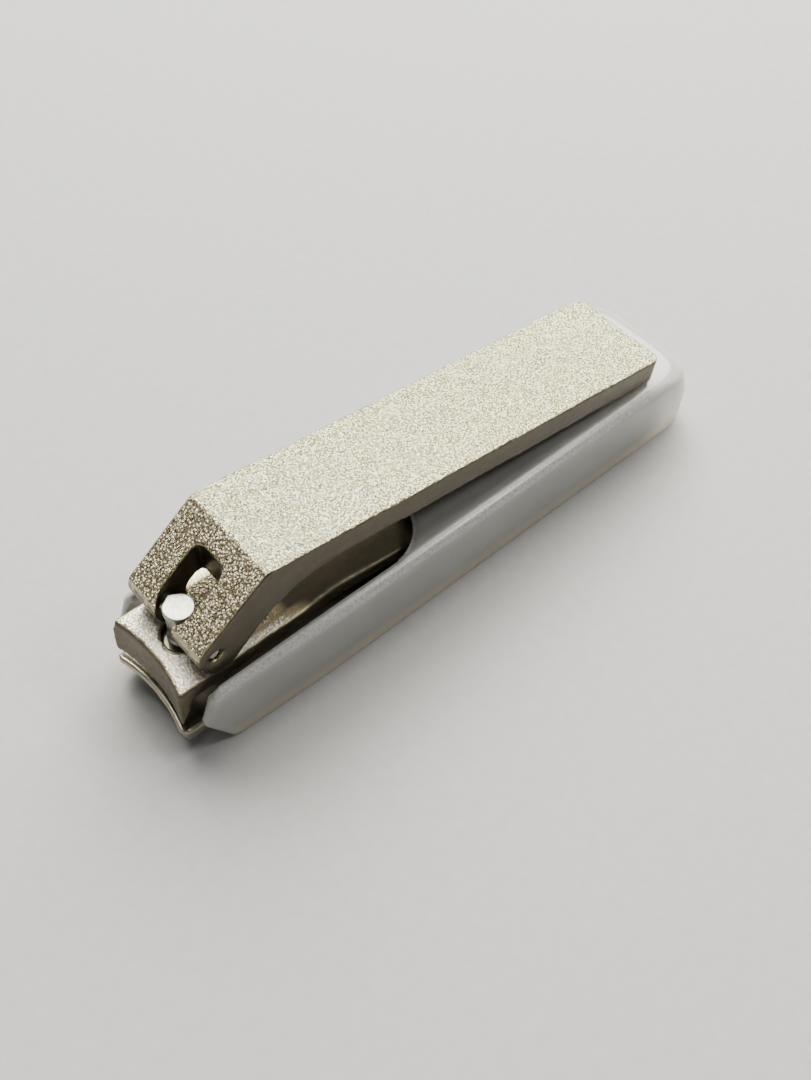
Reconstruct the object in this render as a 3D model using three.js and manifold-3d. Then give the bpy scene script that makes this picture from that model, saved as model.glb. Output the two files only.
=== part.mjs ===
// Compound-lever nail clipper with a slide-on catcher case, stored position.
// Millimetres. +X runs from the tail to the cutting edges, +Z is up, the case floor stands on Z = 0.
// The X numbers below are measured from the tail end of the lever; buildPart() centres them.
import * as THREE from 'three';
import { mergeVertices } from 'three/addons/utils/BufferGeometryUtils.js';
import Module from 'manifold-3d';

const wasm = await Module();
wasm.setup();

// ---- driving dimensions -------------------------------------------------------------------
const CENTRE_X = 26.373;          // middle of the overall length

const CASE_REAR = -4.8;           // catcher case, rear of the roof
const CASE_HEEL = -7.7;           // rearmost point of the bulge
const HEEL_Z = 2.2;
const CASE_CORNER = 3.9;
const CASE_LOW_ROUND = 0.5;
const CASE_TOP_ROUND = 1.3;
const NOSE_Z = 5.0;               // height where the front reaches furthest
const NOSE_LEAN_LOW = 2.6;
const NOSE_LEAN_HIGH = 1.3;
const EDGE_STEPS = 5;
const SLICE = 0.01;
const CASE_FRONT = 58.9;
const CASE_HALF_WIDTH = 7.4;
const CASE_HEIGHT = 9.2;
const CASE_WALL = 1.5;
const CASE_CAVITY_REAR = -3.5;
const CASE_SKIN = 0.9;            // floor and roof thickness
const CASE_NOSE_HALF_WIDTH = 7.0;
const CUTOUT_REAR = 31.5;         // round end of the U-shaped roof cutout
const FLOOR_SLOT_HALF_WIDTH = 3.3;
const RAIL_REAR = 20.0;           // rails that hold the lower jaw down
const RAIL_FRONT = 40.0;
const RAIL_INNER_Y = 5.0;
const RUNNER_HEIGHT = 0.4;        // ribs under the lower jaw

const JAW_THICKNESS = 1.5;
const JAW_REAR = -2.6;
const JAW_HALF_WIDTH = 5.3;
const JAW_TOP_HALF_WIDTH = 4.95;
const JAW_TIP_X = 60.45;          // front corners before the concave edge is cut
const LOWER_JAW_Z = 1.5;          // underside of the lower jaw
const LOWER_EDGE_Z = 3.4;         // lower cutting edge
const UPPER_REAR_Z = 3.3;         // underside of the upper jaw over the rivets
const UPPER_FRONT_Z = 7.6;        // underside of the upper jaw at the post
const UPPER_EDGE_Z = 4.5;         // upper cutting edge
const UPPER_REAR_HALF_WIDTH = 4.6;
const FRONT_X = 59.4;             // middle of the concave front face
const EDGE_RADIUS = 17.5;         // plan radius of the cutting edges
const EDGE_AXIS_X = FRONT_X + EDGE_RADIUS;

const POST_X = 56.1;
const POST_RADIUS = 1.45;
const POST_HOLE_RADIUS = 1.75;
const NECK_HALF_WIDTH = 1.0;
const NECK_HALF_LENGTH = 0.98;
const NECK_Z = 9.25;
const HEAD_Z = 12.7;
const HEAD_TOP = 13.3;
const HEAD_RADIUS = 1.42;

const PIN_Z = 11.9;               // cross pin in the lever foot
const PIN_RADIUS = 0.6;
const PIN_BORE_RADIUS = 0.7;
const PIN_HALF_LENGTH = 4.95;

const LEVER_TAIL_TOP = 12.5;
const LEVER_DEPTH = 2.95;
const BEND_X = 50.6;
const BEND_Z = 18.8;
const FOOT_X = 57.6;
const FOOT_Z = 13.1;
const FOOT_BOTTOM = 9.45;
const LEVER_TAIL_HALF_WIDTH = 5.87;
const LEVER_BEND_HALF_WIDTH = 5.27;
const LEVER_FOOT_HALF_WIDTH = 5.2;
const KEYHOLE_REAR = 52.3;
const KEYHOLE_HALF_WIDTH = 1.85;
const LEG_POCKET_HALF_WIDTH = 3.9; // recess behind the facet, between the two side flanges
const LEG_POCKET_FRONT = 54.0;
const MOUTH_HALF_WIDTH = 1.15;

const RIVET_X = [3.0, 9.0];
const RIVET_RADIUS = 1.15;
const RIVET_HOLE_RADIUS = 1.25;

// ---- materials ----------------------------------------------------------------------------
const nickelCast = () => new THREE.MeshStandardMaterial({ color: 0xcfc4ae, roughness: 0.38, metalness: 1.0 });
const nickelSteel = () => new THREE.MeshStandardMaterial({ color: 0xc9bda6, roughness: 0.32, metalness: 1.0 });
const brightSteel = () => new THREE.MeshStandardMaterial({ color: 0xd6d4ce, roughness: 0.28, metalness: 1.0 });
const frosted = () => new THREE.MeshStandardMaterial({ color: 0xdadcdc, roughness: 0.55, metalness: 0.0 });

// ---- shape helpers ------------------------------------------------------------------------
// Closed outline through corners [a, b, reach]; reach is how far from the corner its curve starts.
function softShape(corners) {
  const shape = new THREE.Shape();
  corners.forEach(([a, b, reach], index) => {
    const corner = new THREE.Vector2(a, b);
    const before = corners[(index + corners.length - 1) % corners.length];
    const after = corners[(index + 1) % corners.length];
    const toBefore = new THREE.Vector2(before[0] - a, before[1] - b).setLength(reach);
    const toAfter = new THREE.Vector2(after[0] - a, after[1] - b).setLength(reach);
    const start = corner.clone().add(toBefore);
    const end = corner.clone().add(toAfter);
    if (index === 0) shape.moveTo(start.x, start.y);
    else shape.lineTo(start.x, start.y);
    if (reach > 0) shape.quadraticCurveTo(a, b, end.x, end.y);
  });
  shape.closePath();
  return shape;
}

function extrude(shape, depth, segments = 8) {
  return new THREE.ExtrudeGeometry(shape, { depth, bevelEnabled: false, curveSegments: segments });
}

// Side view (X, Z) drawn out across the width.
function acrossY(shape, halfWidth, segments) {
  return extrude(shape, 2 * halfWidth, segments).rotateX(Math.PI / 2).translate(0, halfWidth, 0);
}

// Plan view (X, Y) drawn upwards.
function upZ(shape, low, high, segments) {
  return extrude(shape, high - low, segments).translate(0, 0, low);
}

// Cross-section (Y, Z) drawn along the length.
function alongX(shape, rear, front, segments) {
  const turn = new THREE.Matrix4().makeBasis(
    new THREE.Vector3(0, 1, 0),
    new THREE.Vector3(0, 0, 1),
    new THREE.Vector3(1, 0, 0),
  );
  return extrude(shape, front - rear, segments).applyMatrix4(turn).translate(rear, 0, 0);
}

function block(x0, x1, y0, y1, z0, z1) {
  const box = new THREE.BoxGeometry(x1 - x0, y1 - y0, z1 - z0);
  return box.translate((x0 + x1) / 2, (y0 + y1) / 2, (z0 + z1) / 2);
}

function uprightCone(x, lowRadius, highRadius, low, high, segments = 40) {
  const cone = new THREE.CylinderGeometry(highRadius, lowRadius, high - low, segments);
  return cone.rotateX(Math.PI / 2).translate(x, 0, (low + high) / 2);
}

function uprightTurned(x, profile, segments = 40) {
  const points = profile.map(([radius, z]) => new THREE.Vector2(radius, z));
  return new THREE.LatheGeometry(points, segments).rotateX(Math.PI / 2).translate(x, 0, 0);
}

function crossBar(x, z, radius, halfLength, segments = 32) {
  return new THREE.CylinderGeometry(radius, radius, 2 * halfLength, segments).translate(x, 0, z);
}

// ---- solids -------------------------------------------------------------------------------
function solid(geometry) {
  geometry.deleteAttribute('normal');
  geometry.deleteAttribute('uv');
  const merged = mergeVertices(geometry, 1e-4);
  const mesh = new wasm.Mesh({
    numProp: 3,
    vertProperties: new Float32Array(merged.attributes.position.array),
    triVerts: new Uint32Array(merged.index.array),
  });
  return new wasm.Manifold(mesh);
}

function pieceFrom(name, manifold, material) {
  const mesh = manifold.getMesh();
  const geometry = new THREE.BufferGeometry();
  geometry.setAttribute('position', new THREE.BufferAttribute(new Float32Array(mesh.vertProperties), 3));
  geometry.setIndex(new THREE.BufferAttribute(new Uint32Array(mesh.triVerts), 1));
  geometry.translate(-CENTRE_X, 0, 0);
  geometry.computeVertexNormals();
  const piece = new THREE.Mesh(geometry, material);
  piece.name = name;
  return piece;
}

// ---- catcher case -------------------------------------------------------------------------
// Side profiles of the shell: the rear bulges low down, the front leans out to its widest point.
function shellRear(z) {
  const share = (z - HEEL_Z) / (CASE_HEIGHT - HEEL_Z);
  return CASE_HEEL + (CASE_REAR - CASE_HEEL) * share * share;
}

function shellFront(z) {
  if (z < NOSE_Z) return CASE_FRONT - NOSE_LEAN_LOW * (1 - z / NOSE_Z);
  return CASE_FRONT - NOSE_LEAN_HIGH * ((z - NOSE_Z) / (CASE_HEIGHT - NOSE_Z));
}

// Thin plan slice of the shell at one height, drawn in from the full outline by an inset.
function shellSlice(z, inset) {
  const w = CASE_HALF_WIDTH - inset;
  const nose = CASE_NOSE_HALF_WIDTH - inset;
  const rear = shellRear(z) + inset;
  const front = shellFront(z) - 0.8 * inset;
  const plan = softShape([
    [rear, -w, CASE_CORNER], [46, -w, 8], [front, -nose, 0.7],
    [front, nose, 0.7], [46, w, 8], [rear, w, CASE_CORNER],
  ]);
  const low = Math.min(z, CASE_HEIGHT - SLICE);
  return solid(upZ(plan, low, low + SLICE));
}

// Slices wrapped into one body with rounded lower and upper edges.
function caseShell() {
  const slices = [shellSlice(HEEL_Z, 0), shellSlice(NOSE_Z, 0)];
  for (let step = 0; step <= EDGE_STEPS; step += 1) {
    const turn = (step / EDGE_STEPS) * (Math.PI / 2);
    const rise = 1 - Math.cos(turn);
    const inset = 1 - Math.sin(turn);
    slices.push(shellSlice(CASE_LOW_ROUND * rise, CASE_LOW_ROUND * inset));
    slices.push(shellSlice(CASE_HEIGHT - CASE_TOP_ROUND * rise, CASE_TOP_ROUND * inset));
  }
  return wasm.Manifold.hull(slices);
}

function caseCavity() {
  const w = CASE_HALF_WIDTH - CASE_WALL;
  const low = CASE_SKIN;
  const high = CASE_HEIGHT - CASE_SKIN;
  const rear = CASE_CAVITY_REAR;
  const section = softShape([[-w, low, 0.5], [w, low, 0.5], [w, high, 0.8], [-w, high, 0.8]]);
  const plan = softShape([[rear, -w, 2.0], [70, -w, 0], [70, w, 0], [rear, w, 2.0]]);
  return solid(alongX(section, rear - 1, 69)).intersect(solid(upZ(plan, 0, CASE_HEIGHT)));
}

function roundEndedSlot(rear, halfWidth, low, high) {
  const shape = new THREE.Shape();
  const centre = rear + halfWidth;
  shape.moveTo(70, halfWidth);
  shape.lineTo(centre, halfWidth);
  shape.absarc(centre, 0, halfWidth, Math.PI / 2, Math.PI * 1.5, false);
  shape.lineTo(70, -halfWidth);
  shape.closePath();
  return solid(upZ(shape, low, high, 24));
}

function catcherCase() {
  const inner = CASE_HALF_WIDTH - CASE_WALL;
  let body = caseShell().subtract(caseCavity());
  body = body.subtract(roundEndedSlot(CUTOUT_REAR, inner + 0.1, CASE_HEIGHT - CASE_SKIN - 0.2, CASE_HEIGHT + 2));
  body = body.subtract(roundEndedSlot(POST_X - 3.5, FLOOR_SLOT_HALF_WIDTH, -1, CASE_SKIN + 0.6));
  const railLow = LOWER_JAW_Z + JAW_THICKNESS + 0.25;
  for (const sign of [-1, 1]) {
    const railY = [sign * RAIL_INNER_Y, sign * (inner + 0.4)].sort((a, b) => a - b);
    const rail = solid(block(RAIL_REAR, RAIL_FRONT, railY[0], railY[1], railLow, railLow + 0.8));
    const runnerY = [sign * 3.4, sign * 4.2].sort((a, b) => a - b);
    const top = CASE_SKIN + RUNNER_HEIGHT;
    const runner = solid(block(-1, 50, runnerY[0], runnerY[1], CASE_SKIN - 0.3, top));
    body = body.add(rail).add(runner);
  }
  return body;
}

// ---- jaws ---------------------------------------------------------------------------------
// Curved blade between two upright cones; the cones meet at the cutting edge.
function blade(edgeZ, rootZ, edgeRadius, rootRadius, thickness) {
  const low = Math.min(edgeZ, rootZ);
  const high = Math.max(edgeZ, rootZ);
  const edgeIsLow = edgeZ < rootZ;
  const thin = edgeRadius + 0.1;
  const thick = rootRadius + thickness;
  const outer = edgeIsLow
    ? uprightCone(EDGE_AXIS_X, thin, thick, low, high, 180)
    : uprightCone(EDGE_AXIS_X, thick, thin, low, high, 180);
  const trim = block(52, 66, -JAW_HALF_WIDTH, JAW_HALF_WIDTH, low, high);
  return solid(outer).intersect(solid(trim));
}

function throughHoles(jaw) {
  let result = jaw.subtract(solid(uprightCone(POST_X, POST_HOLE_RADIUS, POST_HOLE_RADIUS, -2, 14)));
  for (const x of RIVET_X) {
    result = result.subtract(solid(uprightCone(x, RIVET_HOLE_RADIUS, RIVET_HOLE_RADIUS, -2, 14)));
  }
  return result;
}

function upperJaw() {
  const t = JAW_THICKNESS;
  const w = JAW_HALF_WIDTH;
  const rearW = UPPER_REAR_HALF_WIDTH;
  const side = softShape([
    [JAW_REAR, UPPER_REAR_Z, 0.2], [12, UPPER_REAR_Z, 3], [46, UPPER_FRONT_Z, 3], [62, UPPER_FRONT_Z, 0],
    [62, UPPER_FRONT_Z + t, 0], [46, UPPER_FRONT_Z + t, 3], [12, UPPER_REAR_Z + t, 3],
    [JAW_REAR, UPPER_REAR_Z + t, 0.2],
  ]);
  const plan = softShape([
    [JAW_REAR, -rearW, 2.4], [43.5, -rearW, 1.5], [49, -w, 1.5], [JAW_TIP_X, -w, 0.9],
    [JAW_TIP_X, w, 0.9], [49, w, 1.5], [43.5, rearW, 1.5], [JAW_REAR, rearW, 2.4],
  ]);
  const section = softShape([
    [-w - 0.05, UPPER_REAR_Z, 0], [w + 0.05, UPPER_REAR_Z, 0],
    [JAW_TOP_HALF_WIDTH, UPPER_FRONT_Z + t, 0.3], [-JAW_TOP_HALF_WIDTH, UPPER_FRONT_Z + t, 0.3],
  ]);
  const envelope = solid(upZ(plan, 0, 14)).intersect(solid(alongX(section, JAW_REAR - 1, 64)));
  const leaf = solid(acrossY(side, 8));
  const tip = blade(UPPER_EDGE_Z, UPPER_FRONT_Z + 0.4, EDGE_RADIUS - 0.15, EDGE_RADIUS, 1.7);
  const hollow = solid(uprightCone(EDGE_AXIS_X, EDGE_RADIUS - 0.3, EDGE_RADIUS + 0.1, 0, 11, 200));
  return throughHoles(leaf.add(tip).intersect(envelope).subtract(hollow));
}

function lowerJaw() {
  const w = JAW_HALF_WIDTH;
  const top = LOWER_JAW_Z + JAW_THICKNESS;
  const plan = softShape([[JAW_REAR, -w, 2.4], [JAW_TIP_X, -w, 0.9], [JAW_TIP_X, w, 0.9], [JAW_REAR, w, 2.4]]);
  const envelope = solid(upZ(plan, LOWER_JAW_Z, LOWER_EDGE_Z));
  const leaf = solid(block(JAW_REAR - 1, 64, -8, 8, LOWER_JAW_Z, top));
  const tip = blade(LOWER_EDGE_Z, top - 0.6, EDGE_RADIUS - 0.25, EDGE_RADIUS, 1.1);
  const brow = top - 0.1;                               // the front face leans back above and below
  const below = solid(uprightCone(EDGE_AXIS_X, EDGE_RADIUS + 1.1, EDGE_RADIUS - 0.45, 0, brow, 200));
  const above = solid(uprightCone(EDGE_AXIS_X, EDGE_RADIUS - 0.45, EDGE_RADIUS + 0.15, brow, brow + 1.4, 200));
  return throughHoles(leaf.add(tip).intersect(envelope).subtract(below.add(above)));
}

// ---- post, pin and rivets -----------------------------------------------------------------
function post() {
  const shaft = solid(uprightTurned(POST_X, [
    [0, 0.45], [2.3, 0.45], [2.6, 0.7], [2.6, 1.0], [2.35, 1.25],
    [POST_RADIUS, 1.3], [POST_RADIUS, HEAD_Z], [0, HEAD_Z],
  ]));
  const headShape = new THREE.Shape();
  headShape.absarc(0, 0, HEAD_RADIUS, -Math.PI * 0.25, Math.PI * 1.25, false);
  headShape.lineTo(0, -HEAD_RADIUS * 1.13);
  headShape.closePath();
  const head = solid(upZ(headShape, HEAD_Z - 0.05, HEAD_TOP, 40).translate(POST_X, 0, 0));
  const n = NECK_HALF_WIDTH;
  const aroundNeck = solid(block(POST_X - 3, POST_X + 3, -4, 4, NECK_Z, HEAD_Z + 1));
  const neck = solid(block(POST_X - NECK_HALF_LENGTH, POST_X + NECK_HALF_LENGTH, -n, n, NECK_Z - 1, HEAD_Z));
  const eye = solid(crossBar(POST_X, PIN_Z, PIN_BORE_RADIUS, 4));
  return shaft.subtract(aroundNeck).add(neck).subtract(eye).add(head);
}

function leverPin() {
  const chamfer = 0.15;
  const profile = [
    [0, -PIN_HALF_LENGTH], [PIN_RADIUS - chamfer, -PIN_HALF_LENGTH],
    [PIN_RADIUS, -PIN_HALF_LENGTH + chamfer], [PIN_RADIUS, PIN_HALF_LENGTH - chamfer],
    [PIN_RADIUS - chamfer, PIN_HALF_LENGTH], [0, PIN_HALF_LENGTH],
  ].map(([radius, y]) => new THREE.Vector2(radius, y));
  return solid(new THREE.LatheGeometry(profile, 32).translate(POST_X, 0, PIN_Z));
}

function rivet(x) {
  const low = LOWER_JAW_Z - 0.08;
  const high = UPPER_REAR_Z + JAW_THICKNESS + 0.1;
  return solid(uprightTurned(x, [
    [0, low - 0.3], [1.8, low - 0.3], [2.0, low - 0.15], [2.0, low],
    [RIVET_RADIUS, low], [RIVET_RADIUS, high], [2.1, high], [2.1, high + 0.2],
    [1.7, high + 0.5], [1.0, high + 0.68], [0, high + 0.72],
  ]));
}

// ---- lever --------------------------------------------------------------------------------
function lever() {
  const slope = (BEND_Z - LEVER_TAIL_TOP) / BEND_X;
  const heel = 54.5;                                    // rear bottom corner of the foot
  const innerX = (heel + FOOT_BOTTOM - LEVER_TAIL_TOP + LEVER_DEPTH) / (1 + slope);
  const innerZ = FOOT_BOTTOM + heel - innerX;           // the leg's inside rises at 45 degrees
  const side = softShape([
    [0, LEVER_TAIL_TOP - LEVER_DEPTH, 0.7], [innerX, innerZ, 5.4], [heel, FOOT_BOTTOM, 0.5],
    [56.7, FOOT_BOTTOM, 0.6], [57.9, 11.8, 0.7], [FOOT_X, FOOT_Z, 0.25],
    [BEND_X, BEND_Z, 0.35], [0, LEVER_TAIL_TOP, 0.4],
  ]);
  const plan = softShape([
    [0, -LEVER_TAIL_HALF_WIDTH, 1.5], [BEND_X, -LEVER_BEND_HALF_WIDTH, 0], [59, -LEVER_FOOT_HALF_WIDTH, 0],
    [59, LEVER_FOOT_HALF_WIDTH, 0], [BEND_X, LEVER_BEND_HALF_WIDTH, 0], [0, LEVER_TAIL_HALF_WIDTH, 1.5],
  ]);
  const k = KEYHOLE_HALF_WIDTH;
  const keyhole = softShape([[KEYHOLE_REAR, -k, 0.8], [POST_X, -k, 0], [POST_X, k, 0], [KEYHOLE_REAR, k, 0.8]]);
  const pocket = softShape([
    [40, 6, 0], [LEG_POCKET_FRONT, 6, 0], [LEG_POCKET_FRONT, 12.3, 0.6],
    [49.8, 15.7, 1.5], [40, LEVER_TAIL_TOP - LEVER_DEPTH + 40 * slope, 0],
  ]);
  const mouth = block(POST_X - 1, 62, -MOUTH_HALF_WIDTH, MOUTH_HALF_WIDTH, 6, 22);
  return solid(acrossY(side, 8))
    .intersect(solid(upZ(plan, 0, 24)))
    .subtract(solid(acrossY(pocket, LEG_POCKET_HALF_WIDTH)))
    .subtract(solid(upZ(keyhole, 6, 24)))
    .subtract(solid(uprightCone(POST_X, k, k, PIN_Z + 0.55, 22)))
    .subtract(solid(mouth))
    .subtract(solid(crossBar(POST_X, PIN_Z, PIN_BORE_RADIUS, 9)));
}

// ---- assembly -----------------------------------------------------------------------------
function buildPart() {
  const group = new THREE.Group();
  group.name = 'nail_clipper';
  group.add(pieceFrom('lever', lever(), nickelCast()));
  group.add(pieceFrom('lever_pin', leverPin(), brightSteel()));
  group.add(pieceFrom('post', post(), brightSteel()));
  group.add(pieceFrom('upper_jaw', upperJaw(), nickelSteel()));
  group.add(pieceFrom('lower_jaw', lowerJaw(), nickelSteel()));
  group.add(pieceFrom('rear_rivet_1', rivet(RIVET_X[0]), brightSteel()));
  group.add(pieceFrom('rear_rivet_2', rivet(RIVET_X[1]), brightSteel()));
  group.add(pieceFrom('catcher_case', catcherCase(), frosted()));
  return group;
}

export default buildPart();
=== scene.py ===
"""Looks of the nail clipper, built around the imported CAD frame.

The frame is in metres, with +X towards the cutting edges and +Z up. Mesh code works on copies in
millimetres, and finish_piece() brings each copy back to metres.
"""

import math
from typing import NamedTuple

import bmesh
import bpy
import numpy as np
from mathutils import Matrix, Vector


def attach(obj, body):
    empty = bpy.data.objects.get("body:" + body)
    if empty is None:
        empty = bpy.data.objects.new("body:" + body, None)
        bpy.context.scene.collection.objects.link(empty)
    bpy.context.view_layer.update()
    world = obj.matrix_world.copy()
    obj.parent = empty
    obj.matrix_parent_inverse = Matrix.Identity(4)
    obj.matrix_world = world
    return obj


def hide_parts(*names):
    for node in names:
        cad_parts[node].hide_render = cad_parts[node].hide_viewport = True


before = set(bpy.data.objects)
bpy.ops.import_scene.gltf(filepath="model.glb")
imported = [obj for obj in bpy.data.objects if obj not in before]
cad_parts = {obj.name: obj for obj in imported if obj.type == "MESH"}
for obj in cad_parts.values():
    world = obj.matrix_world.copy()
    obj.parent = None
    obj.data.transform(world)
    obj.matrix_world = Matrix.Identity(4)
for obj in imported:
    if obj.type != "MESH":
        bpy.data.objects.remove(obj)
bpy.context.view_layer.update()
SCENE = bpy.context.scene
MM = 0.001

# Directions that the blasted faces look in.
LEVER_TOP_NORMAL = np.array([-0.1236, 0.0, 0.9923])
FACET_NORMAL = np.array([0.6314, 0.0, 0.7755])
UP = np.array([0.0, 0.0, 1.0])

# Stretches along the length over which a finish fades in or out, mm.
CASE_HEEL = (-31.5, -25.0)      # painted light: the rear end of the case, lighter where it faces the key light, fading out
TOP_BRIGHTENING = (-8.0, 22.0)       # the lever's top brightens towards its bend
BLASTED_MARGIN = (19.0, 23.0)   # rough strips along the jaw's long edges begin
UNDER_LEVER = (21.0, 23.5)      # painted shade: the jaw turns dark and rough below the lever's foot
BLASTED_TIP = (27.6, 29.6)      # the jaw's blasted tip begins

# Distances from the middle plane where those parts of the jaw meet, mm.
MARGIN_ACROSS = (3.6, 4.2)
SHELTER_ACROSS = (3.4, 4.0)

# How squarely a face has to look the given way for its finish, fading in between the two.
LEVER_FACING = (0.72, 0.9)
FACET_FACING = (0.88, 0.96)
JAW_FACING = (0.75, 0.92)

GRAIN_SIZE = 0.42               # spacing of the bumps of a blasted skin, mm
GRAIN_REACH = 0.9               # radius of a grain, as a share of that spacing
TURNED_INSET = 0.04             # keeps the turned parts clear of the skins around them, mm
UPPER_JAW_CROWN = (7.7, 8.5, 40)    # heights over which extra smoothing fades in, mm, and its rounds
MERGE_GAP = 0.0005              # vertices closer than this are one, mm
LEAST_WEIGHT = 0.02             # points with less of the crown's smoothing get none


# ---- mesh code ----------------------------------------------------------------------------
def merged_copy(node, name):
    """The CAD node's shape in millimetres, as a new object with its split vertices merged."""
    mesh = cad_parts[node].data.copy()
    mesh.name = name
    mesh.materials.clear()
    mesh.transform(Matrix.Scale(1 / MM, 4))
    work = bmesh.new()
    work.from_mesh(mesh)
    bmesh.ops.remove_doubles(work, verts=work.verts, dist=MERGE_GAP)
    work.to_mesh(mesh)
    work.free()
    piece = bpy.data.objects.new(name, mesh)
    SCENE.collection.objects.link(piece)
    return piece


def bake_modifiers(piece):
    """Replace the piece's mesh by what its modifiers make of it."""
    graph = bpy.context.evaluated_depsgraph_get()
    final = bpy.data.meshes.new_from_object(piece.evaluated_get(graph))
    piece.modifiers.clear()
    old = piece.data
    piece.data = final
    bpy.data.meshes.remove(old)


def add_smoothing(piece, rounds):
    """Add a modifier that evens the surface out, and return it."""
    soften = piece.modifiers.new("soften", "SMOOTH")
    soften.factor = 0.5
    soften.iterations = rounds
    return soften


def relax_above(piece, low, high, rounds):
    """Smooth the part above the given heights further, fading in between them."""
    shares = ramp(points_and_normals(piece)[0][:, 2], low, high)
    group = piece.vertex_groups.new(name="crown")
    for index in np.nonzero(shares > LEAST_WEIGHT)[0]:
        group.add([int(index)], float(shares[index]), "REPLACE")
    add_smoothing(piece, rounds).vertex_group = group.name


def resurfaced(node, name, voxel, relax, keep=1.0, crown=None):
    """The node's shape with softly rounded edges: an even skin, relaxed, then thinned to a share.

    A crown of (low, high, rounds) relaxes the part above those heights further.
    """
    piece = merged_copy(node, name)
    skin = piece.modifiers.new("skin", "REMESH")
    skin.mode = "VOXEL"
    skin.voxel_size = voxel
    add_smoothing(piece, relax)
    if crown:
        bake_modifiers(piece)
        relax_above(piece, *crown)
    if keep < 1.0:
        piece.modifiers.new("thin", "DECIMATE").ratio = keep
    bake_modifiers(piece)
    return piece


def points_and_normals(piece):
    """The mesh's vertex places and normals, as two arrays of rows."""
    vertices = piece.data.vertices
    points = np.empty(len(vertices) * 3)
    normals = np.empty(len(vertices) * 3)
    vertices.foreach_get("co", points)
    vertices.foreach_get("normal", normals)
    return points.reshape(-1, 3), normals.reshape(-1, 3)


def eased(share):
    """A share from 0 to 1, levelled off at both ends."""
    return share * share * (3 - 2 * share)


def ramp(value, low, high):
    """0 below low, 1 above high, and a smooth change between."""
    return eased(np.clip((value - low) / (high - low), 0, 1))


def hashed(cells, seed):
    """A repeatable number from 0 to 1 for each whole-number cell: an integer hash kept to 32 bits."""
    mixed = cells[:, 0] * 374761393 + cells[:, 1] * 668265263 + cells[:, 2] * 1274126177
    mixed = (mixed + seed * 974634777) & 0xFFFFFFFF
    mixed = ((mixed ^ (mixed >> 13)) * 1103515245) & 0xFFFFFFFF
    mixed = ((mixed ^ (mixed >> 15)) * 69069) & 0xFFFFFFFF
    return ((mixed ^ (mixed >> 16)) & 0xFFFFFF) / float(0xFFFFFF)


def smooth_noise(points, size, seed):
    """Value noise from -1 to 1 with features of about the given size."""
    scaled = points / size
    base = np.floor(scaled).astype(np.int64)
    part = eased(scaled - base)
    total = np.zeros(len(points))
    for corner in np.ndindex(2, 2, 2):
        offset = np.array(corner)
        weight = np.prod(np.where(offset == 1, part, 1 - part), axis=1)
        total += weight * hashed(base + offset, seed)
    return 2 * total - 1


def grains(points, seed):
    """Cell pattern of a blasted skin: 1 in the middle of a grain, 0 between grains."""
    scaled = points / GRAIN_SIZE
    base = np.floor(scaled).astype(np.int64)
    nearest = np.full(len(points), np.inf)
    for step in np.ndindex(3, 3, 3):
        cell = base + np.array(step) - 1
        seat = np.stack([hashed(cell, seed + axis) for axis in range(3)], axis=1)
        nearest = np.minimum(nearest, np.linalg.norm(cell + seat - scaled, axis=1))
    return 1 - np.clip(nearest / GRAIN_REACH, 0, 1)


def paint(piece, name, values):
    """Give the piece a value per point, which its material reads by name."""
    layer = piece.data.attributes.new(name, "FLOAT", "POINT")
    layer.data.foreach_set("value", np.asarray(values, dtype=np.float32))


def raise_points(piece, points, normals, height):
    """Move each point along its normal by its height."""
    moved = points + normals * height[:, None]
    piece.data.vertices.foreach_set("co", moved.reshape(-1))
    piece.data.update()


def finish_piece(piece, material, body, slot, *nodes):
    """Back to metres, smooth shaded, with its material, riding on its body."""
    piece.data.transform(Matrix.Scale(MM, 4))
    piece.data.materials.clear()
    piece.data.materials.append(material)
    piece.data.shade_smooth()
    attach(piece, body)
    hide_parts(*nodes)


# ---- material code ------------------------------------------------------------------------
NOISE_RANGE = (0.3, 0.7)        # where most values of a noise node lie


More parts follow.
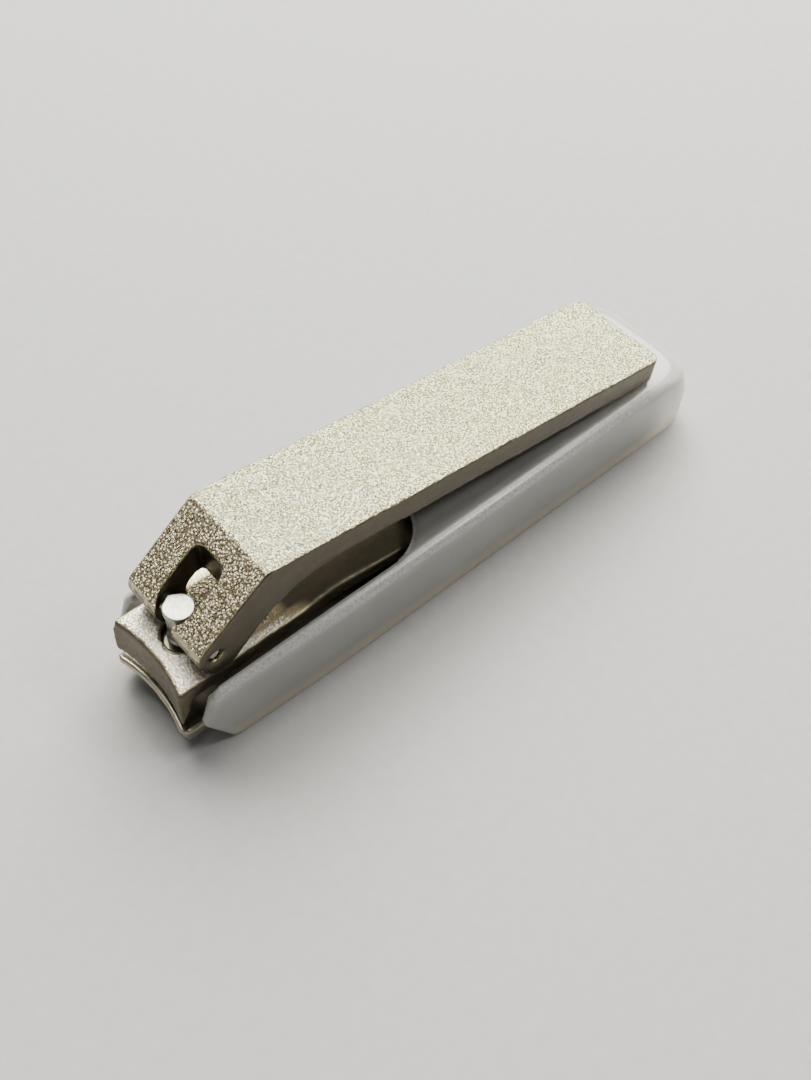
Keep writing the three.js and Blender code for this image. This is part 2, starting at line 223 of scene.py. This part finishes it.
class Nodes:
    """A material's node tree with short ways to add and join nodes. Sizes are in metres."""

    def __init__(self, name):
        self.material = bpy.data.materials.new(name)
        self.material.use_nodes = True
        self.tree = self.material.node_tree
        self.shader = self.tree.nodes["Principled BSDF"]
        self.place = self.add("ShaderNodeTexCoord").outputs["Object"]

    def add(self, kind, **settings):
        node = self.tree.nodes.new(kind)
        for key, value in settings.items():
            setattr(node, key, value)
        return node

    def feed(self, socket, value):
        """Join an output to the socket, or set the socket to a plain value."""
        if isinstance(value, bpy.types.NodeSocket):
            self.tree.links.new(value, socket)
        else:
            socket.default_value = value

    def set(self, name, value):
        """Feed the shader's input of that name."""
        self.feed(self.shader.inputs[name], value)

    def noise(self, size, detail):
        node = self.add("ShaderNodeTexNoise")
        self.feed(node.inputs["Vector"], self.place)
        node.inputs["Scale"].default_value = 1 / size
        node.inputs["Detail"].default_value = detail
        return node.outputs["Fac"]

    def cells(self, size):
        node = self.add("ShaderNodeTexVoronoi")
        self.feed(node.inputs["Vector"], self.place)
        node.inputs["Scale"].default_value = 1 / size
        return node.outputs["Distance"]

    def painted(self, name):
        return self.add("ShaderNodeAttribute", attribute_name=name).outputs["Fac"]

    def math(self, operation, a, b, clamp=False):
        node = self.add("ShaderNodeMath", operation=operation, use_clamp=clamp)
        self.feed(node.inputs[0], a)
        self.feed(node.inputs[1], b)
        return node.outputs[0]

    def spread(self, value, low, high, to_low=0.0, to_high=1.0):
        """The value, with low to high stretched to fill to_low to to_high."""
        node = self.add("ShaderNodeMapRange")
        self.feed(node.inputs["Value"], value)
        limits = {"From Min": low, "From Max": high, "To Min": to_low, "To Max": to_high}
        for name, number in limits.items():
            node.inputs[name].default_value = number
        return node.outputs["Result"]

    def mottle(self, size, detail, to_low=0.0, to_high=1.0):
        """Noise that fills the given range."""
        return self.spread(self.noise(size, detail), *NOISE_RANGE, to_low, to_high)

    def blend(self, share, a, b):
        """From colour a to colour b as the share goes from 0 to 1."""
        node = self.add("ShaderNodeMix", data_type="RGBA")
        self.feed(node.inputs["Factor"], share)
        for socket, colour in ((node.inputs[6], a), (node.inputs[7], b)):
            self.feed(socket, (*colour, 1.0) if isinstance(colour, tuple) else colour)
        return node.outputs[2]

    def blend_numbers(self, share, a, b):
        node = self.add("ShaderNodeMix", data_type="FLOAT")
        for socket, value in zip((node.inputs["Factor"], node.inputs[2], node.inputs[3]), (share, a, b)):
            self.feed(socket, value)
        return node.outputs[0]

    def bump(self, height, distance, strength, under=None):
        """Relief of the given height, over another relief where one is given."""
        node = self.add("ShaderNodeBump")
        node.inputs["Distance"].default_value = distance
        self.feed(node.inputs["Height"], height)
        self.feed(node.inputs["Strength"], strength)
        if under is not None:
            self.feed(node.inputs["Normal"], under)
        return node.outputs["Normal"]


def lighter(colour, factor):
    return tuple(min(1.0, channel * factor) for channel in colour)


class NickelLook(NamedTuple):
    """How one blasted and satin nickel part looks. Colours are linear RGB."""
    light: tuple                        # tops of the grains
    dark: tuple                         # pits between the grains
    side: tuple                         # smooth satin faces, darkened as painted shade on the lever and upper jaw
    gloss: tuple = (0.20, 0.34)         # roughness of the blasted faces
    satin_gloss: tuple = (0.32, 0.42)   # roughness of the satin faces
    depth: float = 0.11                 # relief of the grains, mm


# The lever's and upper jaw's satin side colours are near black: painted shade on faces turned from the
# light.
LEVER_LOOK = NickelLook(light=(0.93, 0.94, 0.63), dark=(0.29, 0.27, 0.14), side=(0.085, 0.074, 0.054))
UPPER_JAW_LOOK = NickelLook(
    light=(0.98, 0.95, 0.82),
    dark=(0.62, 0.56, 0.42),
    side=(0.11, 0.095, 0.068),
    gloss=(0.40, 0.52),
    satin_gloss=(0.46, 0.6),
    depth=0.05,
)
LOWER_JAW_LOOK = NickelLook(light=(0.88, 0.84, 0.70), dark=(0.5, 0.46, 0.36), side=(0.34, 0.31, 0.24))
WARM_EDGE_HIGHLIGHT = (0.50, 0.40, 0.24)          # painted highlight: warm colour along the border of the blasted faces
SHADE_DARK = (0.13, 0.105, 0.06)        # painted shade: pits and tops of the grains on faces turned from the light and under the lever's foot
SHADE_LIGHT = (0.80, 0.74, 0.56)
STEEL_DULL = (0.36, 0.36, 0.31)         # the two tones of the turned parts' faint cloudiness
STEEL_BRIGHT = (0.44, 0.44, 0.38)
PLASTIC_THIN = (0.42, 0.415, 0.385)     # the case's side walls, with a faint cloudiness
PLASTIC_CLOUD = (0.50, 0.495, 0.465)
PLASTIC_HEEL = (0.86, 0.86, 0.84)       # painted light: the rear end, lighter where it faces the key light
PLASTIC_FLOOR = (0.74, 0.67, 0.53)      # the warm line along the case's lower edge
PLASTIC_RIM_HIGHLIGHT = (0.95, 0.95, 0.92)      # speckled painted highlight on the crests of the walls
FLOOR_BAND = (1.5, 2.6)                 # height over which the lower line fades out, mm


def blasted_nickel(name, look):
    """Pear-skin nickel where "blast" is painted, smooth satin nickel elsewhere, with painted shade and a
    painted edge highlight.
    """
    n = Nodes(name)
    blast, painted_shade, bend_brightening = (n.painted(layer) for layer in ("blast", "painted_shade", "bend_brightening"))
    fine = n.noise(0.13 * MM, 3.0)
    pits = n.math("ADD", n.spread(n.cells(0.25 * MM), 0.1, 0.75, 1.0, 0.0), n.math("MULTIPLY", fine, 1.1))

    # grain tops brighter towards the lever's bend
    tops = n.blend(bend_brightening, look.light, lighter(look.light, 1.15))
    lit = n.blend(n.spread(pits, 0.55, 1.25), look.dark, tops)
    # painted shade: a darker, shaded copy of the grain colours, used where the shade mask is painted
    shaded = n.blend(n.spread(pits, 0.8, 1.5), SHADE_DARK, SHADE_LIGHT)
    blasted = n.blend(painted_shade, lit, shaded)
    satin = n.blend(n.spread(n.noise(1.8 * MM, 4.0), 0.35, 0.65), look.side, lighter(look.side, 1.16))
    # painted highlight: a warm colour along the border between the blasted and satin faces
    border = n.math("MULTIPLY", blast, n.math("SUBTRACT", 1.0, blast))
    edge_highlight = n.math("MULTIPLY", border, 3.2, clamp=True)
    n.set("Base Color", n.blend(edge_highlight, n.blend(blast, satin, blasted), WARM_EDGE_HIGHLIGHT))

    cloud = n.noise(6.0 * MM, 3.0)
    uneven = n.math("ADD", n.math("MULTIPLY", fine, 0.6), n.math("MULTIPLY", cloud, 0.4))
    rough = n.spread(uneven, *NOISE_RANGE, *look.gloss)
    n.set("Roughness", n.blend_numbers(blast, n.mottle(0.5 * MM, 3.0, *look.satin_gloss), rough))
    n.set("Metallic", 1.0)

    satin_bump = n.bump(n.noise(0.22 * MM, 3.0), 0.006 * MM, 0.6)
    relief = n.math("MULTIPLY", pits, n.spread(painted_shade, 0.0, 1.0, 1.0, 2.2))
    n.set("Normal", n.bump(relief, look.depth * MM, blast, satin_bump))
    return n.material


def bright_steel(name):
    """Smooth plating with faint cloudiness and fine handling marks."""
    n = Nodes(name)
    n.set("Base Color", n.blend(n.mottle(1.1 * MM, 4.0), STEEL_DULL, STEEL_BRIGHT))
    n.set("Roughness", n.mottle(0.4 * MM, 3.0, 0.40, 0.5))
    n.set("Metallic", 1.0)
    n.set("Normal", n.bump(n.noise(0.3 * MM, 2.0), 0.01 * MM, 0.6))
    return n.material


def frosted_plastic(name):
    """Milky moulded plastic: light passes, shapes behind it blur, the skin is finely matt."""
    n = Nodes(name)
    axes = n.add("ShaderNodeSeparateXYZ")
    n.feed(axes.inputs[0], n.place)
    floor_band = n.spread(axes.outputs["Z"], *(height * MM for height in FLOOR_BAND), 1.0, 0.0)
    heel = n.spread(axes.outputs["X"], *(x * MM for x in CASE_HEEL), 1.0, 0.0)
    milk = n.blend(n.mottle(9.0 * MM, 3.0), PLASTIC_THIN, PLASTIC_CLOUD)
    # painted light on the rear end, which faces the key light
    milk = n.blend(heel, milk, PLASTIC_HEEL)
    milk = n.blend(floor_band, milk, PLASTIC_FLOOR)
    # painted highlight, speckled, on the rounded top edges of the walls
    speckle = n.spread(n.noise(0.25 * MM, 2.0), 0.35, 0.6, 0.35, 1.0)
    rim_highlight = n.math("MULTIPLY", n.painted("crest"), speckle)
    n.set("Base Color", n.blend(rim_highlight, milk, PLASTIC_RIM_HIGHLIGHT))
    n.set("Roughness", n.mottle(0.3 * MM, 3.0, 0.28, 0.38))
    n.set("Transmission Weight", 0.55)
    n.set("IOR", 1.49)
    n.set("Subsurface Weight", 0.2)
    n.set("Subsurface Radius", (1.0, 1.0, 1.0))
    n.set("Subsurface Scale", 1.6 * MM)
    n.set("Coat Weight", 0.5)
    n.set("Coat Roughness", 0.18)
    n.set("Normal", n.bump(n.noise(0.16 * MM, 2.0), 0.022 * MM, 0.8))
    return n.material


# ---- pieces -------------------------------------------------------------------------------
def make_lever():
    """Blasted on its top and its slanted front face, satin on its sides and below."""
    piece = resurfaced("lever", "lever_skin", voxel=0.165, relax=4)
    points, normals = points_and_normals(piece)
    towards_top = np.maximum(normals @ LEVER_TOP_NORMAL, normals @ FACET_NORMAL)
    ragged = 0.10 * smooth_noise(points, 0.5, seed=11) + 0.05 * smooth_noise(points, 0.22, seed=12)
    blast = ramp(towards_top + ragged, *LEVER_FACING)
    relief = 0.028 * grains(points, seed=3) + 0.012 * smooth_noise(points, 0.3, seed=5) - 0.02
    sag = 0.02 * smooth_noise(points, 5.0, seed=7)
    raise_points(piece, points, normals, relief * blast + sag)
    paint(piece, "blast", blast)
    # painted shade: the slanted front face takes the darker, shaded grain colours
    paint(piece, "painted_shade", ramp(normals @ FACET_NORMAL, *FACET_FACING))
    paint(piece, "bend_brightening", ramp(points[:, 0], *TOP_BRIGHTENING))
    finish = blasted_nickel("nickel_cast", LEVER_LOOK)
    finish_piece(piece, finish, "lever", "nickel_cast", "lever")


def make_upper_jaw():
    """Blasted at its tip, along its edges and under the lever's foot, satin elsewhere; painted shade
    darkens it under the lever's foot.
    """
    piece = resurfaced("upper_jaw", "upper_jaw_skin", voxel=0.16, relax=2, keep=0.8, crown=UPPER_JAW_CROWN)
    points, normals = points_and_normals(piece)
    along, across = points[:, 0], np.abs(points[:, 1])
    tip = ramp(along, *BLASTED_TIP)
    margin = ramp(across, *MARGIN_ACROSS) * ramp(along, *BLASTED_MARGIN)
    shade_under_lever = ramp(along, *UNDER_LEVER) * (1 - tip) * (1 - ramp(across, *SHELTER_ACROSS))
    upward = ramp(normals @ UP + 0.08 * smooth_noise(points, 0.5, seed=21), *JAW_FACING)
    blast = upward * np.maximum.reduce([tip, margin, shade_under_lever])
    raise_points(piece, points, normals, (0.02 * grains(points, seed=22) - 0.012) * blast)
    paint(piece, "blast", blast)
    # painted shade below the lever's foot
    paint(piece, "painted_shade", shade_under_lever)
    finish = blasted_nickel("nickel_upper", UPPER_JAW_LOOK)
    finish_piece(piece, finish, "upper_jaw", "nickel_steel", "upper_jaw")


def make_lower_jaw():
    """Satin all over, so its blasted share is painted as nought."""
    piece = resurfaced("lower_jaw", "lower_jaw_skin", voxel=0.18, relax=2, keep=0.5)
    paint(piece, "blast", np.zeros(len(piece.data.vertices)))
    finish = blasted_nickel("nickel_lower", LOWER_JAW_LOOK)
    finish_piece(piece, finish, "lower_frame", "nickel_steel", "lower_jaw")


def make_turned_parts():
    """The post, the cross pin and the rivets."""
    steel = bright_steel("bright_steel")
    for node, body, voxel in (
        ("post", "post", 0.09),
        ("lever_pin", "lever", 0.07),
        ("rear_rivet_1", "lower_frame", 0.09),
        ("rear_rivet_2", "lower_frame", 0.09),
    ):
        piece = resurfaced(node, node + "_turned", voxel, relax=3, keep=0.6)
        points, normals = points_and_normals(piece)
        wear = 0.012 * smooth_noise(points, 0.7, seed=41) + 0.006 * smooth_noise(points, 0.3, seed=42)
        raise_points(piece, points, normals, wear - TURNED_INSET)
        finish_piece(piece, steel, body, "bright_steel", node)


def make_case():
    """A moulding with a painted highlight along "crest", the rounded top edges of its walls."""
    piece = resurfaced("catcher_case", "case_moulding", voxel=0.22, relax=4, keep=0.35)
    points, normals = points_and_normals(piece)
    raise_points(piece, points, normals, 0.03 * smooth_noise(points, 9.0, seed=51))
    lean = np.abs(normals[:, 1])
    rounded = ramp(lean, 0.12, 0.4) * (1 - ramp(lean, 0.8, 0.97))
    # painted highlight mask on the rounded top edges
    paint(piece, "crest", rounded * ramp(points[:, 2], 7.4, 8.2))
    finish = frosted_plastic("frosted_plastic")
    finish_piece(piece, finish, "catcher_case", "frosted_plastic", "catcher_case")


# ---- stage --------------------------------------------------------------------------------
CAMERA_AZIMUTH = math.radians(132.93)
CAMERA_ELEVATION = math.radians(53.49)
CAMERA_ROLL = math.radians(6.42)
CAMERA_DISTANCE = 0.10185
CAMERA_TARGET = Vector((0.00764, 0.00418, 0.008))
CAMERA_LENS = 36.09
SENSOR_WIDTH = 36.0
FLOOR_REACH = 1.5
PAPER_DARK = (0.37, 0.37, 0.366)
PAPER_LIGHT = (0.40, 0.40, 0.396)
SKY_TINT = (0.80, 0.82, 0.85, 1)
SKY_STRENGTH = 0.2


def make_camera():
    """Looks down on the object from beyond its cutting edges, to one side, a little rolled."""
    level = math.cos(CAMERA_ELEVATION)
    back = Vector((
        math.sin(CAMERA_AZIMUTH) * level,
        -math.cos(CAMERA_AZIMUTH) * level,
        math.sin(CAMERA_ELEVATION),
    ))
    side = Vector((math.cos(CAMERA_AZIMUTH), math.sin(CAMERA_AZIMUTH), 0))
    right = side * math.cos(CAMERA_ROLL) + back.cross(side) * math.sin(CAMERA_ROLL)
    turn = Matrix((right, back.cross(right), back)).transposed().to_4x4()
    data = bpy.data.cameras.new("camera")
    data.lens = CAMERA_LENS
    data.sensor_width = SENSOR_WIDTH
    data.sensor_fit = "AUTO"
    data.clip_start = 0.002
    data.clip_end = 20
    camera = bpy.data.objects.new("camera", data)
    camera.matrix_world = Matrix.Translation(CAMERA_TARGET + back * CAMERA_DISTANCE) @ turn
    SCENE.collection.objects.link(camera)
    SCENE.camera = camera


def make_floor():
    work = bmesh.new()
    bmesh.ops.create_grid(work, x_segments=8, y_segments=8, size=FLOOR_REACH)
    mesh = bpy.data.meshes.new("floor")
    work.to_mesh(mesh)
    work.free()
    floor = bpy.data.objects.new("floor", mesh)
    SCENE.collection.objects.link(floor)
    n = Nodes("floor_paper")
    n.set("Base Color", n.blend(n.mottle(1.2 * MM, 4.0), PAPER_DARK, PAPER_LIGHT))
    n.set("Roughness", 0.85)
    mesh.materials.append(n.material)


def area_light(name, place, size, power, tint):
    """A rectangular lamp that faces the middle of the floor."""
    data = bpy.data.lights.new(name, "AREA")
    data.shape = "RECTANGLE"
    data.size, data.size_y = size
    data.energy = power
    data.color = tint
    light = bpy.data.objects.new(name, data)
    light.location = place
    light.rotation_euler = (-Vector(place)).to_track_quat("-Z", "Y").to_euler()
    SCENE.collection.objects.link(light)


def make_light():
    area_light("key", (-0.25, -0.21, 0.38), size=(0.50, 0.42), power=10.3, tint=(1.0, 0.975, 0.89))
    area_light("overhead", (-0.02, -0.26, 0.46), size=(0.26, 0.22), power=2.2, tint=(1.0, 0.98, 0.94))
    area_light("rim", (-0.25, 0.18, 0.40), size=(0.10, 0.08), power=0.95, tint=(1.0, 0.98, 0.95))
    world = bpy.data.worlds.new("studio")
    world.use_nodes = True
    sky = world.node_tree.nodes["Background"]
    sky.inputs["Color"].default_value = SKY_TINT
    sky.inputs["Strength"].default_value = SKY_STRENGTH
    SCENE.world = world


make_camera()
make_floor()
make_light()
make_lever()
make_upper_jaw()
make_lower_jaw()
make_turned_parts()
make_case()
